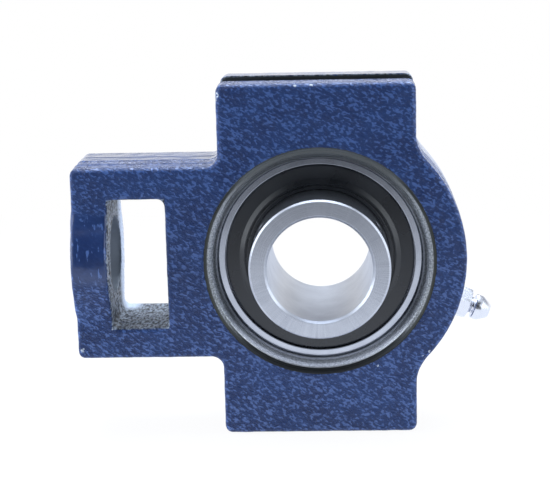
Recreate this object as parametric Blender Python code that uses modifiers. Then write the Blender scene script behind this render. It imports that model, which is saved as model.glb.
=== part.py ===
"""Take-up bearing unit for a 25 mm shaft: a cast guide housing with a spherical-seat insert bearing.

Sizes are in metres. +X runs from the tail to the round boss, +Z is up, and the shaft runs along Y,
with the long side of the inner ring towards -Y. The origin is the middle of the lower guide groove's
bottom face, straight below the bearing centre.
"""

import math

import bmesh
import bpy

# Guide block, tail and boss of the cast housing
guide_span = 0.076
lip_height = 0.005
groove_width = 0.010
plate_thickness = 0.0244
block_length = 0.048
tail_reach = 0.0595
tail_height = 0.047
boss_radius = 0.0353
rim_round = 0.0012
corner_round = 0.002
root_round = 0.0028

# Adjusting slot and the stud boss that closes the tail
end_wall = 0.009
slot_width = 0.0136
slot_height = 0.0316
slot_round = 0.0018
stud_hole_diameter = 0.019
stud_boss_diameter = 0.0326
stud_face_proud = 0.0003
stud_boss_chamfer = 0.0008

# Machined mouth of the bearing seat
mouth_flare = 0.0030
mouth_chamfer = 0.0004
seat_overrun = 0.0007
lube_groove_width = 0.006
lube_groove_depth = 0.0008

# Insert bearing, with its inner sizes as shares of the space between the shaft and the outside
shaft_diameter = 0.025
insert_diameter = 0.052
outer_width_share = 0.28846
front_reach = 0.0198
rear_reach = 0.0143
ball_share = 0.588
ball_count = 9
outer_wall_share = 0.1763
race_drop_share = 0.6677
outer_race_drop_share = 0.6047
outer_land_share = 0.1074
ring_chamfer = 0.0004
bore_chamfer = 0.0006
lube_hole_diameter = 0.0018

# Seals, flingers and cage
flinger_recess = 0.0002
flinger_thickness = 0.0006
flinger_ridge = 0.0003
flinger_ridge_width = 0.0014
flinger_collar = 0.0009
seal_thickness = 0.0006
shield_gap = 0.00025
cage_share = 0.2074
cage_horn_share = 0.4787

# Grub screws in the long side of the inner ring
grub_diameter = 0.0055
grub_inset = 0.0048
grub_socket = 0.0025
grub_socket_depth = 0.0016
grub_tip_sink = 0.0003
grub_head_sink = 0.0002
grub_edge = 0.0004
grub_cup = 0.0015
grub_cup_depth = 0.0006
grub_angles = (150, 30)

# Grease fitting on the boss
fitting_angle = -21
fitting_thread = 0.0054
fitting_hex = 0.0070
fitting_hex_height = 0.0034
fitting_hex_edge = 0.0003
fitting_neck_diameter = 0.0040
fitting_neck_length = 0.0012
fitting_head_diameter = 0.0062
fitting_head_length = 0.0042
fitting_tip_diameter = 0.0034
fitting_head_slope = 0.0021
fitting_head_band = 0.0008
fitting_passage = 0.0023
fitting_mouth = 0.0015
fitting_lip = 0.0004
fitting_ball_diameter = 0.0019
spring_length = 0.0045
spring_wire = 0.00026
spring_turns = 4
passage_stub = 0.003
passage_diameter = 0.0014

# Clearances between pieces
running_gap = 0.0002
pocket_gap = 0.00035
seated_gap = 0.0003
press_gap = 0.00012
cut_over = 0.001

# Values that follow from the sizes above
axis_height = guide_span / 2
half_plate = plate_thickness / 2
half_block = block_length / 2
block_top = guide_span / 2 + lip_height
half_tail = tail_height / 2
slot_left = -tail_reach + end_wall
slot_middle = slot_left + slot_width / 2
stud_boss_radius = stud_boss_diameter / 2

insert_radius = insert_diameter / 2
seat_radius = insert_radius + running_gap
ring_section = (insert_diameter - shaft_diameter) / 2
ball_radius = ball_share * ring_section / 2
race_radius = ball_radius + running_gap
outer_wall = outer_wall_share * ring_section
outer_race = insert_radius - outer_wall
pitch_radius = outer_race - race_radius
race_drop = race_drop_share * ball_radius
outer_race_drop = outer_race_drop_share * ball_radius
inner_shoulder = pitch_radius - race_drop
outer_shoulder = pitch_radius + outer_race_drop
half_width = outer_width_share * insert_diameter / 2
face_radius = math.sqrt(insert_radius ** 2 - half_width ** 2) - ring_chamfer
recess_radius = face_radius - outer_land_share * ring_section
shaft_radius = shaft_diameter / 2

flinger_outside = half_width - flinger_recess - flinger_ridge
flinger_inside = flinger_outside - flinger_thickness
seal_outside = flinger_inside - shield_gap
seal_inside = seal_outside - seal_thickness
cage_back = seal_inside - shield_gap
cage_height = cage_share * ring_section
cage_horn = cage_horn_share * ball_radius

grub_hole_radius = grub_diameter / 2 + shield_gap
grub_length = inner_shoulder - shaft_radius - grub_tip_sink - grub_head_sink
grub_place = front_reach - grub_inset

boss_wall = boss_radius - seat_radius
fitting_hole_depth = boss_wall - passage_stub
fitting_stem = fitting_hole_depth - seated_gap


def material(name, colour, roughness, metallic):
    """A plain surface for one kind of piece."""
    made = bpy.data.materials.new(name)
    made.use_nodes = True
    shader = made.node_tree.nodes["Principled BSDF"]
    shader.inputs["Base Color"].default_value = (*colour, 1)
    shader.inputs["Roughness"].default_value = roughness
    shader.inputs["Metallic"].default_value = metallic
    return made


def arc(centre, radius, start, end, steps):
    """Points along an arc, with its angles in degrees."""
    points = []
    for k in range(steps + 1):
        angle = math.radians(start + (end - start) * k / steps)
        points.append((centre[0] + radius * math.cos(angle), centre[1] + radius * math.sin(angle)))
    return points


def keep(part, collection, surface=None, parent=None):
    """Put an object in its collection, with its surface and its parent."""
    for old in list(part.users_collection):
        old.objects.unlink(part)
    collection.objects.link(part)
    part.parent = parent
    if surface:
        part.data.materials.clear()
        part.data.materials.append(surface)
    return part


def hide_cutter(cutter):
    """A cutter shows as wires and stays out of renders."""
    cutter.hide_render = True
    cutter.display_type = "WIRE"
    return cutter


def turned(name, profile, collection, steps=48, closed=True):
    """A piece turned about its local Z from points (radius, height) that run down its outer side."""
    mesh = bpy.data.meshes.new(name)
    count = len(profile)
    last = count if closed else count - 1
    edges = [(k, (k + 1) % count) for k in range(last)]
    mesh.from_pydata([(radius, 0, height) for radius, height in profile], edges, [])
    part = bpy.data.objects.new(name, mesh)
    collection.objects.link(part)
    screw = part.modifiers.new("Turn", "SCREW")
    screw.axis = "Z"
    screw.angle = math.tau
    screw.steps = steps
    screw.render_steps = steps
    screw.use_merge_vertices = True
    screw.merge_threshold = 0.00001
    if not closed:
        weld = part.modifiers.new("Close the axis", "WELD")
        weld.merge_threshold = 0.00001
    return part


def extruded(name, outline, thickness, collection):
    """A flat outline in local X and Y with a thickness along local Z, as a mesh."""
    curve = bpy.data.curves.new(name + "_outline", "CURVE")
    curve.dimensions = "2D"
    curve.fill_mode = "BOTH"
    curve.extrude = thickness / 2
    spline = curve.splines.new("POLY")
    spline.points.add(len(outline) - 1)
    for point, place in zip(spline.points, outline):
        point.co = (place[0], place[1], 0, 1)
    spline.use_cyclic_u = True
    flat = bpy.data.objects.new(name + "_outline", curve)
    collection.objects.link(flat)
    bpy.context.view_layer.update()
    mesh = bpy.data.meshes.new_from_object(flat.evaluated_get(bpy.context.evaluated_depsgraph_get()))
    mesh.name = name
    bpy.data.objects.remove(flat)
    shape = bmesh.new()
    shape.from_mesh(mesh)
    bmesh.ops.remove_doubles(shape, verts=shape.verts, dist=0.00001)
    bmesh.ops.dissolve_limit(shape, angle_limit=0.001, verts=shape.verts, edges=shape.edges)
    shape.to_mesh(mesh)
    shape.free()
    part = bpy.data.objects.new(name, mesh)
    collection.objects.link(part)
    return part


def box(name, size, place, collection):
    """A box with its middle at a place."""
    shape = bmesh.new()
    bmesh.ops.create_cube(shape, size=1)
    bmesh.ops.scale(shape, vec=size, verts=shape.verts)
    mesh = bpy.data.meshes.new(name)
    shape.to_mesh(mesh)
    shape.free()
    part = bpy.data.objects.new(name, mesh)
    part.location = place
    collection.objects.link(part)
    return part


def prism(name, radius, depth, sides, collection):
    """A round or many-sided bar along its local Z, standing on its origin."""
    shape = bmesh.new()
    bmesh.ops.create_cone(shape, cap_ends=True, segments=sides, radius1=radius, radius2=radius, depth=depth)
    bmesh.ops.translate(shape, vec=(0, 0, depth / 2), verts=shape.verts)
    mesh = bpy.data.meshes.new(name)
    shape.to_mesh(mesh)
    shape.free()
    part = bpy.data.objects.new(name, mesh)
    collection.objects.link(part)
    return part


def combine(part, tool, operation):
    """Cut a tool out of a piece, or join it on."""
    change = part.modifiers.new(tool.name, "BOOLEAN")
    change.operation = operation
    change.solver = "EXACT"
    change.object = tool
    hide_cutter(tool)


def settle(part):
    """Apply the modifiers, then shade the round faces smooth and leave the edges crisp."""
    bpy.context.view_layer.update()
    shaped = bpy.data.meshes.new_from_object(part.evaluated_get(bpy.context.evaluated_depsgraph_get()))
    shaped.name = part.name
    part.modifiers.clear()
    part.data = shaped
    shaped.shade_smooth()
    shaped.set_sharp_from_angle(angle=math.radians(32))


def aim_radially(part, angle, radius):
    """Point a piece's local Z away from the shaft, at an angle above +X and a distance from the axis."""
    turn = math.radians(angle)
    part.rotation_euler = (0, math.pi / 2 - turn, 0)
    part.location = (radius * math.cos(turn), part.location.y, radius * math.sin(turn))


def face_front(part):
    """Turn a piece so that its local Z points to the front, along -Y."""
    part.rotation_euler = (math.pi / 2, 0, 0)


def housing_outline():
    """Front view of the casting about the bearing centre: guide block, tail and round boss."""
    line = half_block
    root_x = line + root_round
    root_z = math.sqrt((boss_radius + root_round) ** 2 - root_x ** 2)
    meet = math.degrees(math.atan2(root_z, root_x))
    corner_x = half_block - corner_round
    corner_z = block_top - corner_round
    tail_x = -tail_reach + corner_round
    tail_z = half_tail - corner_round
    inner_x = -half_block - root_round
    inner_z = half_tail + root_round
    outline = arc((corner_x, -corner_z), corner_round, -90, 0, 4)
    outline += arc((root_x, -root_z), root_round, 180, 180 - meet, 4)
    outline += arc((0, 0), boss_radius, -meet, meet, 30)[1:-1]
    outline += arc((root_x, root_z), root_round, 180 + meet, 180, 4)
    outline += arc((corner_x, corner_z), corner_round, 0, 90, 4)
    outline += arc((-corner_x, corner_z), corner_round, 90, 180, 4)
    outline += arc((inner_x, inner_z), root_round, 0, -90, 4)
    outline += arc((tail_x, tail_z), corner_round, 90, 180, 4)
    outline += arc((tail_x, -tail_z), corner_round, 180, 270, 4)
    outline += arc((inner_x, -inner_z), root_round, 90, 0, 4)
    outline += arc((-corner_x, -corner_z), corner_round, 180, 270, 4)
    return outline


def slot_outline():
    """Rounded rectangle of the adjusting slot."""
    side = slot_width / 2 - slot_round
    top = slot_height / 2 - slot_round
    outline = arc((side, top), slot_round, 0, 90, 4)
    outline += arc((-side, top), slot_round, 90, 180, 4)
    outline += arc((-side, -top), slot_round, 180, 270, 4)
    outline += arc((side, -top), slot_round, 270, 360, 4)
    return outline


def loading_outline():
    """The two opposite notches, as wide as the insert, through which it is put in and turned."""
    half = half_width + seated_gap
    reach = seat_radius + running_gap
    tilt = math.degrees(math.asin(half / reach))
    return arc((0, 0), reach, 90 - tilt, 90 + tilt, 6) + arc((0, 0), reach, 270 - tilt, 270 + tilt, 6)


def seat_point(height):
    """Where the spherical seat is, at a height along the shaft from the bearing centre."""
    return (math.sqrt(seat_radius ** 2 - height ** 2), height)


def seat_profile():
    """Rounded mouth at the front, spherical seat with its grease groove, and plain rear mouth."""
    edge = half_width + seat_overrun
    edge_radius = seat_point(edge)[0]
    mouth_radius = edge_radius + mouth_flare
    lead = mouth_flare - mouth_chamfer
    rise = half_plate - mouth_chamfer - edge
    half_groove = lube_groove_width / 2
    floor = seat_radius + lube_groove_depth
    profile = [(0, half_plate + cut_over), (mouth_radius + cut_over, half_plate + cut_over)]
    profile += [(mouth_radius, half_plate)]
    for angle in (90, 65, 40, 20):
        turn = math.radians(angle)
        profile.append((edge_radius + lead * (1 - math.cos(turn)), edge + rise * math.sin(turn)))
    profile += [seat_point(edge), seat_point((edge + half_groove) / 2), seat_point(half_groove)]
    profile += [(floor, half_groove), (floor, -half_groove)]
    profile += [seat_point(-half_groove), seat_point(-(edge + half_groove) / 2), seat_point(-edge)]
    profile += [(mouth_radius - mouth_chamfer, -half_plate)]
    profile += [(mouth_radius, -half_plate - cut_over), (0, -half_plate - cut_over)]
    return profile


def make_housing(parts, cutters, surface):
    housing = extruded("housing", housing_outline(), plate_thickness, parts)
    face_front(housing)
    housing.location.z = axis_height
    keep(housing, parts, surface)
    rim = housing.modifiers.new("Cast edges", "BEVEL")
    rim.width = rim_round
    rim.segments = 2
    rim.limit_method = "ANGLE"
    rim.angle_limit = math.radians(60)
    rim.use_clamp_overlap = False

    stud_length = end_wall + stud_face_proud + cut_over
    stud_boss = prism("stud_boss", stud_boss_radius, stud_length, 48, cutters)
    stud_boss.rotation_euler = (0, math.pi / 2, 0)
    stud_boss.location = (-tail_reach - stud_face_proud, 0, axis_height)
    edge = stud_boss.modifiers.new("Boss edge", "BEVEL")
    edge.width = stud_boss_chamfer
    edge.segments = 2
    edge.limit_method = "ANGLE"
    edge.angle_limit = math.radians(60)
    combine(housing, stud_boss, "UNION")

    slot = extruded("slot_cutter", slot_outline(), stud_boss_diameter + 2 * cut_over, cutters)
    face_front(slot)
    slot.location = (slot_middle, 0, axis_height)
    combine(housing, slot, "DIFFERENCE")

    stud_hole = prism("stud_hole_cutter", stud_hole_diameter / 2, end_wall + 3 * cut_over, 40, cutters)
    stud_hole.rotation_euler = (0, math.pi / 2, 0)
    stud_hole.location = (-tail_reach - 2 * cut_over, 0, axis_height)
    combine(housing, stud_hole, "DIFFERENCE")

    cut_height = lip_height + cut_over
    for name, side in (("upper", 1), ("lower", -1)):
        place = (0, 0, axis_height + side * (guide_span + cut_height) / 2)
        size = (block_length + 2 * cut_over, groove_width, cut_height)
        combine(housing, box(name + "_groove_cutter", size, place, cutters), "DIFFERENCE")

    seat = turned("seat_cutter", seat_profile(), cutters, closed=False)
    face_front(seat)
    seat.location.z = axis_height
    combine(housing, seat, "DIFFERENCE")

    loading = extruded("loading_cutter", loading_outline(), half_plate + cut_over, cutters)
    face_front(loading)
    loading.location = (0, (half_plate + cut_over) / 2, axis_height)
    combine(housing, loading, "DIFFERENCE")

    hole = fitting_thread / 2 + seated_gap
    narrow = passage_diameter / 2
    profile = [(0, cut_over), (hole, cut_over), (hole, -fitting_hole_depth), (narrow, -fitting_hole_depth)]
    profile += [(narrow, -boss_wall - cut_over), (0, -boss_wall - cut_over)]
    drilled = turned("grease_cutter", profile, cutters, steps=20, closed=False)
    aim_radially(drilled, fitting_angle, boss_radius)
    drilled.location.z += axis_height
    combine(housing, drilled, "DIFFERENCE")
    settle(housing)


def groove_points(side, steps):
    """Raceway across a ring: side is 1 for the outer ring and -1 for the inner ring, front to rear."""
    drop = outer_race_drop if side > 0 else race_drop
    tilt = math.degrees(math.asin(drop / race_radius))
    points = []
    for k in range(steps + 1):
        angle = math.radians(tilt + (180 - 2 * tilt) * k / steps)
        points.append((pitch_radius + side * race_radius * math.sin(angle), race_radius * math.cos(angle)))
    return points


def make_outer_ring(parts, cutters, surface, centre):
    """Spherical outside, raceway inside, and a recess for the seal and the flinger at each end."""
    profile = [(recess_radius, half_width), (face_radius, half_width)]
    start = half_width - ring_chamfer
    for k in range(7):
        height = start - 2 * start * k / 6
        profile.append((math.sqrt(insert_radius ** 2 - height ** 2), height))
    profile += [(face_radius, -half_width), (recess_radius, -half_width)]
    step = seal_inside - press_gap
    profile += [(recess_radius, -step), (outer_shoulder, -step)]
    profile += [(radius, -height) for radius, height in groove_points(1, 6)]
    profile += [(outer_shoulder, step), (recess_radius, step)]
    ring = turned("outer_ring", profile, parts)
    face_front(ring)
    keep(ring, parts, surface, centre)
    drill = prism("lube_cutter", lube_hole_diameter / 2, outer_wall + ball_radius, 12, cutters)
    drill.location.y = race_radius
    aim_radially(drill, fitting_angle, pitch_radius)
    keep(drill, cutters, parent=centre)
    combine(ring, drill, "DIFFERENCE")
    settle(ring)


def make_inner_ring(parts, cutters, surface, centre):
    """Long inner ring with its raceway and two radial screw holes in the front end."""
    profile = [(shaft_radius, front_reach - bore_chamfer), (shaft_radius + bore_chamfer, front_reach)]
    profile += [(inner_shoulder - ring_chamfer, front_reach), (inner_shoulder, front_reach - ring_chamfer)]
    profile += groove_points(-1, 6)
    profile += [(inner_shoulder, -rear_reach + ring_chamfer), (inner_shoulder - ring_chamfer, -rear_reach)]
    profile += [(shaft_radius + bore_chamfer, -rear_reach), (shaft_radius, -rear_reach + bore_chamfer)]
    ring = turned("inner_ring", profile, parts)
    face_front(ring)
    keep(ring, parts, surface, centre)
    for number, angle in enumerate(grub_angles, 1):
        depth = inner_shoulder - shaft_radius + 2 * cut_over
        drill = prism(f"grub_hole_cutter_{number}", grub_hole_radius, depth, 24, cutters)
        drill.location.y = -grub_place
        aim_radially(drill, angle, shaft_radius - cut_over)
        keep(drill, cutters, parent=centre)
        combine(ring, drill, "DIFFERENCE")
    settle(ring)


def make_grub_screws(parts, cutters, surface, centre):
    """Hexagon-socket grub screws with a cup point, sunk in the inner ring's wall."""
    radius = grub_diameter / 2
    profile = [(0, grub_length), (radius - grub_edge, grub_length), (radius, grub_length - grub_edge)]
    profile += [(radius, radius - grub_cup), (grub_cup, 0), (0, grub_cup_depth)]
    for number, angle in enumerate(grub_angles, 1):
        screw = turned(f"grub_screw_{number}", profile, parts, steps=24, closed=False)
        screw.location.y = -grub_place
        aim_radially(screw, angle, shaft_radius + grub_tip_sink)
        keep(screw, parts, surface, centre)
        corner = grub_socket / 2 / math.cos(math.pi / 6)
        socket = prism(f"socket_cutter_{number}", corner, grub_socket_depth + cut_over, 6, cutters)
        socket.location.y = -grub_place
        aim_radially(socket, angle, shaft_radius + grub_tip_sink + grub_length - grub_socket_depth)
        keep(socket, cutters, parent=centre)
        combine(screw, socket, "DIFFERENCE")
        settle(screw)


def make_balls(parts, surface, centre):
    """The balls stand evenly on the pitch circle, half a step off the top."""
    shape = bmesh.new()
    bmesh.ops.create_uvsphere(shape, u_segments=12, v_segments=8, radius=ball_radius)
    mesh = bpy.data.meshes.new("ball")
    shape.to_mesh(mesh)
    shape.free()
    mesh.shade_smooth()
    mesh.materials.append(surface)
    for number in range(ball_count):
        ball = bpy.data.objects.new(f"ball_{number + 1}", mesh)
        angle = math.tau * number / ball_count
        ball.location = (pitch_radius * math.cos(angle), 0, pitch_radius * math.sin(angle))
        face_front(ball)
        parts.objects.link(ball)
        ball.parent = centre


def make_cage(parts, cutters, surface, centre):
    """Crown cage: a ring behind the balls with horns that reach between and round them."""
    low = pitch_radius - cage_height / 2
    high = pitch_radius + cage_height / 2
    profile = [(low, cage_horn), (high, cage_horn), (high, -cage_back), (low, -cage_back)]
    cage = turned("cage", profile, parts, steps=45)
    face_front(cage)
    keep(cage, parts, surface, centre)
    for number in range(ball_count):
        shape = bmesh.new()
        bmesh.ops.create_uvsphere(shape, u_segments=14, v_segments=8, radius=ball_radius + pocket_gap)
        mesh = bpy.data.meshes.new("pocket_cutter")
        shape.to_mesh(mesh)
        shape.free()
        pocket = bpy.data.objects.new(f"pocket_cutter_{number + 1}", mesh)
        angle = math.tau * number / ball_count
        pocket.location = (pitch_radius * math.cos(angle), 0, pitch_radius * math.sin(angle))
        face_front(pocket)
        keep(pocket, cutters, parent=centre)
        combine(cage, pocket, "DIFFERENCE")
    settle(cage)


def make_shields(parts, surface, centre):
    """At each end a seal sits in the outer ring, and a flinger in front of it turns with the inner ring."""
    seal_low = inner_shoulder + shield_gap
    seal_high = recess_radius - press_gap
    flinger_low = inner_shoulder + press_gap
    flinger_high = recess_radius - shield_gap
    ridge = (flinger_low + flinger_high) / 2
    half_ridge = flinger_ridge_width / 2
    crest = flinger_outside + flinger_ridge
    seal = [(seal_low, seal_outside), (seal_high, seal_outside), (seal_high, seal_inside)]
    seal += [(seal_low, seal_inside)]
    flinger = [(flinger_low, crest), (flinger_low + flinger_collar, crest)]
    flinger += [(flinger_low + flinger_collar, flinger_outside), (ridge - half_ridge, flinger_outside)]
    flinger += [(ridge, crest), (ridge + half_ridge, flinger_outside)]
    flinger += [(flinger_high - flinger_ridge, flinger_outside)]
    flinger += [(flinger_high, flinger_outside - flinger_ridge), (flinger_high, flinger_inside)]
    flinger += [(flinger_low, flinger_inside)]
    for end, turn in (("front", math.pi / 2), ("rear", -math.pi / 2)):
        for name, profile in (("seal", seal), ("flinger", flinger)):
            shield = turned(f"{name}_{end}", profile, parts)
            shield.rotation_euler = (turn, 0, 0)
            keep(shield, parts, surface, centre)
            settle(shield)


def make_fitting(parts, cutters, surface, centre):
    """Grease fitting: threaded stem, hexagon, neck and button head with its check-ball passage."""
    stem = fitting_thread / 2
    neck = fitting_neck_diameter / 2
    head = fitting_head_diameter / 2
    tip = fitting_tip_diameter / 2
    passage = fitting_passage / 2
    narrow = passage_diameter / 2
    mouth = fitting_mouth / 2
    base = seated_gap
    shoulder = base + fitting_hex_height
    head_low = shoulder + fitting_neck_length
    top = head_low + fitting_head_length
    band = top - fitting_head_slope
    outside = [(mouth, top), (tip, top), (head, band), (head, band - fitting_head_band)]
    outside += [(neck, head_low), (neck, shoulder - cut_over), (stem, shoulder - cut_over)]
    outside += [(stem, -fitting_stem), (narrow, -fitting_stem)]
    seat = top - fitting_lip
    spring_floor = seat - fitting_ball_diameter - spring_length - 2 * running_gap
    inside = [(narrow, spring_floor), (passage, spring_floor), (passage, seat - running_gap), (mouth, seat)]
    body = turned("grease_fitting", outside + inside, parts, steps=24)
    aim_radially(body, fitting_angle, boss_radius)
    keep(body, parts, surface, centre)
    corner = fitting_hex / 2 / math.cos(math.pi / 6)
    hexagon = prism("hexagon_blank", corner, fitting_hex_height, 6, cutters)
    aim_radially(hexagon, fitting_angle, boss_radius + base)
    keep(hexagon, cutters, parent=centre)
    edge = hexagon.modifiers.new("Hexagon edge", "BEVEL")
    edge.width = fitting_hex_edge
    edge.segments = 1
    bore = prism("hexagon_bore", passage + running_gap, fitting_hex_height + 2 * cut_over, 24, cutters)
    aim_radially(bore, fitting_angle, boss_radius + base - cut_over)
    keep(bore, cutters, parent=centre)
    combine(hexagon, bore, "DIFFERENCE")
    combine(body, hexagon, "UNION")
    settle(body)
    return seat


def make_check_valve(parts, ball_surface, spring_surface, centre, seat):
    """Check ball under the fitting's mouth and the coil spring that pushes it there."""
    radius = fitting_ball_diameter / 2
    place = seat - radius - running_gap
    shape = bmesh.new()
    bmesh.ops.create_uvsphere(shape, u_segments=10, v_segments=6, radius=radius)
    mesh = bpy.data.meshes.new("fitting_ball")
    shape.to_mesh(mesh)
    shape.free()
    mesh.shade_smooth()
    ball = bpy.data.objects.new("fitting_ball", mesh)
    aim_radially(ball, fitting_angle, boss_radius + place)
    keep(ball, parts, ball_surface, centre)

    coil_radius = fitting_passage / 2 - running_gap - spring_wire
    curve = bpy.data.curves.new("fitting_spring", "CURVE")
    curve.dimensions = "3D"
    curve.bevel_depth = spring_wire / 2
    curve.bevel_resolution = 2
    curve.use_fill_caps = True
    spline = curve.splines.new("POLY")
    steps = 10 * spring_turns
    spline.points.add(steps)
    rise = spring_length - spring_wire
    for k, point in enumerate(spline.points):
        angle = math.tau * spring_turns * k / steps
        height = spring_wire / 2 + rise * k / steps
        point.co = (coil_radius * math.cos(angle), coil_radius * math.sin(angle), height, 1)
    coil = bpy.data.objects.new("fitting_spring", curve)
    spring_foot = place - radius - running_gap - spring_length + spring_wire / 2
    aim_radially(coil, fitting_angle, boss_radius + spring_foot)
    keep(coil, parts, spring_surface, centre)


def build():
    for old in list(bpy.data.objects):
        bpy.data.objects.remove(old)
    parts = bpy.data.collections.new("take_up_bearing_unit")
    cutters = bpy.data.collections.new("cutters")
    for collection in (parts, cutters):
        bpy.context.scene.collection.children.link(collection)

    centre = bpy.data.objects.new("bearing_centre", None)
    centre.location.z = axis_height
    centre.empty_display_size = insert_radius
    parts.objects.link(centre)

    blue = material("blue_paint", (0.045, 0.095, 0.32), 0.32, 0)
    steel = material("ground_steel", (0.62, 0.63, 0.66), 0.28, 1)
    bright = material("bright_steel", (0.78, 0.79, 0.80), 0.08, 1)
    dark = material("dark_steel", (0.10, 0.10, 0.11), 0.40, 1)
    zinc = material("zinc_plate", (0.80, 0.81, 0.84), 0.22, 1)
    rubber = material("black_rubber", (0.025, 0.028, 0.032), 0.50, 0)
    nylon = material("cage_nylon", (0.70, 0.62, 0.42), 0.55, 0)

    make_housing(parts, cutters, blue)
    make_outer_ring(parts, cutters, steel, centre)
    make_inner_ring(parts, cutters, steel, centre)
    make_grub_screws(parts, cutters, dark, centre)
    make_balls(parts, bright, centre)
    make_cage(parts, cutters, nylon, centre)
    make_shields(parts, rubber, centre)
    seat = make_fitting(parts, cutters, zinc, centre)
    make_check_valve(parts, bright, dark, centre, seat)


build()
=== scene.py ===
"""Take-up bearing unit with a 25 mm bore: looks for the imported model.

Shapes are worked out in millimetres about the bearing centre, with x from the tail to the boss, y to the
rear and z up, and go into the meshes in metres.
"""

import bmesh
import bpy
import numpy as np
from mathutils import Matrix, Vector


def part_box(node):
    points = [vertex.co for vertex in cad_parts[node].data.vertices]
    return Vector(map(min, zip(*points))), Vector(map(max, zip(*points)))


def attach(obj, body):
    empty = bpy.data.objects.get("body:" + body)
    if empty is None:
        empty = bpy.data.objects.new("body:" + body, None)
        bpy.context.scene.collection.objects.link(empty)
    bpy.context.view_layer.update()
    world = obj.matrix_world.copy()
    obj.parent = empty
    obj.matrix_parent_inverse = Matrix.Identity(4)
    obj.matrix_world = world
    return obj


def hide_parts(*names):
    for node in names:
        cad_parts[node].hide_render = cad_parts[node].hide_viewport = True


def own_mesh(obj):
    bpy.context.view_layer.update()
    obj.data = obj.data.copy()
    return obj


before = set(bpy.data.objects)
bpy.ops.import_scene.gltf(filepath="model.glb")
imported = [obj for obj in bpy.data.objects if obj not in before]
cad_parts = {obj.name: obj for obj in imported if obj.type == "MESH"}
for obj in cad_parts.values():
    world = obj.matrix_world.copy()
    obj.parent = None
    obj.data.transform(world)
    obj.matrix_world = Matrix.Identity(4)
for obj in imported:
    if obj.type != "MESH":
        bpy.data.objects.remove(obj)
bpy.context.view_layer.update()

# Casting: one piece of grey iron, sand cast and sprayed with glossy blue paint that follows the
# sand grain. Its guide block, tail, stud boss and bearing boss run into each other with small
# fillets, and its edges are soft.

ring_low, ring_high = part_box("inner_ring")
centre = np.array([0.0, 0.0, (ring_low.z + ring_high.z) / 2])


def rounded_box(x, z, middle, half, corner):
    """Distance in the front plane to a rectangle with rounded corners, negative inside."""
    across = np.abs(x - middle[0]) - half[0] + corner
    up = np.abs(z - middle[1]) - half[1] + corner
    outside = np.hypot(np.maximum(across, 0), np.maximum(up, 0))
    return outside + np.minimum(np.maximum(across, up), 0) - corner


def joined(first, second, fillet):
    """Distance to two shapes as one, with a round fillet where they meet."""
    hollow = np.hypot(np.maximum(fillet - first, 0), np.maximum(fillet - second, 0))
    return np.maximum(fillet, np.minimum(first, second)) - hollow


def common(first, second, rounding):
    """Distance to what two shapes share, with the edge between them rounded."""
    edge = np.hypot(np.maximum(rounding + first, 0), np.maximum(rounding + second, 0))
    return np.minimum(-rounding, np.maximum(first, second)) + edge


# Middle and half size in the front plane; the block's right side stands 0.8 mm nearer to the axis than
# its left side, as in the photograph.
tail_middle, tail_half = (-24.75, 0), (34.75, 23.5)
block_middle, block_half = (-0.4, 0), (23.6, 43)
slot_middle, slot_half = (-43.7, 0), (6.8, 15.8)
boss, half_thickness, mouth_radius = 35.3, 12.2, 27.75
stud_boss_radius, stud_boss_middle, stud_boss_half, tail_end = 16.3, -54.9, 4.9, -59.8
stud_hole_radius, stud_hole_end = 9.5, -46
groove_half, groove_floor = 5, 38
fitting_angle, grease_hole_radius, grease_hole_start = -21, 3.0, 30
corner_radius, block_fillet, stud_fillet = 2.0, 2.8, 1.6


def casting_distance(point):
    """Signed distance to the casting from the distances to its plate, boss, slot, holes and grooves."""
    x, y, z = point
    tail = rounded_box(x, z, tail_middle, tail_half, corner_radius)
    block = rounded_box(x, z, block_middle, block_half, corner_radius)
    round_end = np.maximum(np.hypot(x, z) - boss, -x)
    front = joined(joined(tail, block, block_fillet), round_end, block_fillet)
    body = common(front, np.abs(y) - half_thickness, 1.3)
    stud_boss = common(np.hypot(y, z) - stud_boss_radius, np.abs(x - stud_boss_middle) - stud_boss_half, 1.0)
    body = common(joined(body, stud_boss, stud_fillet), tail_end - x, 1.2)
    body = common(body, -rounded_box(x, z, slot_middle, slot_half, 1.8), 0.9)
    stud_hole = np.maximum(np.hypot(y, z) - stud_hole_radius, x - stud_hole_end)
    body = common(body, -stud_hole, 0.5)
    groove = np.maximum(np.abs(y) - groove_half, groove_floor - np.abs(z))
    body = common(body, -groove, 0.35)
    turn = np.radians(fitting_angle)
    along = x * np.cos(turn) + z * np.sin(turn)
    beside = np.hypot(y, z * np.cos(turn) - x * np.sin(turn))
    body = np.maximum(body, -np.maximum(beside - grease_hole_radius, grease_hole_start - along))
    return np.maximum(body, mouth_radius - np.hypot(x, z))


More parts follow.
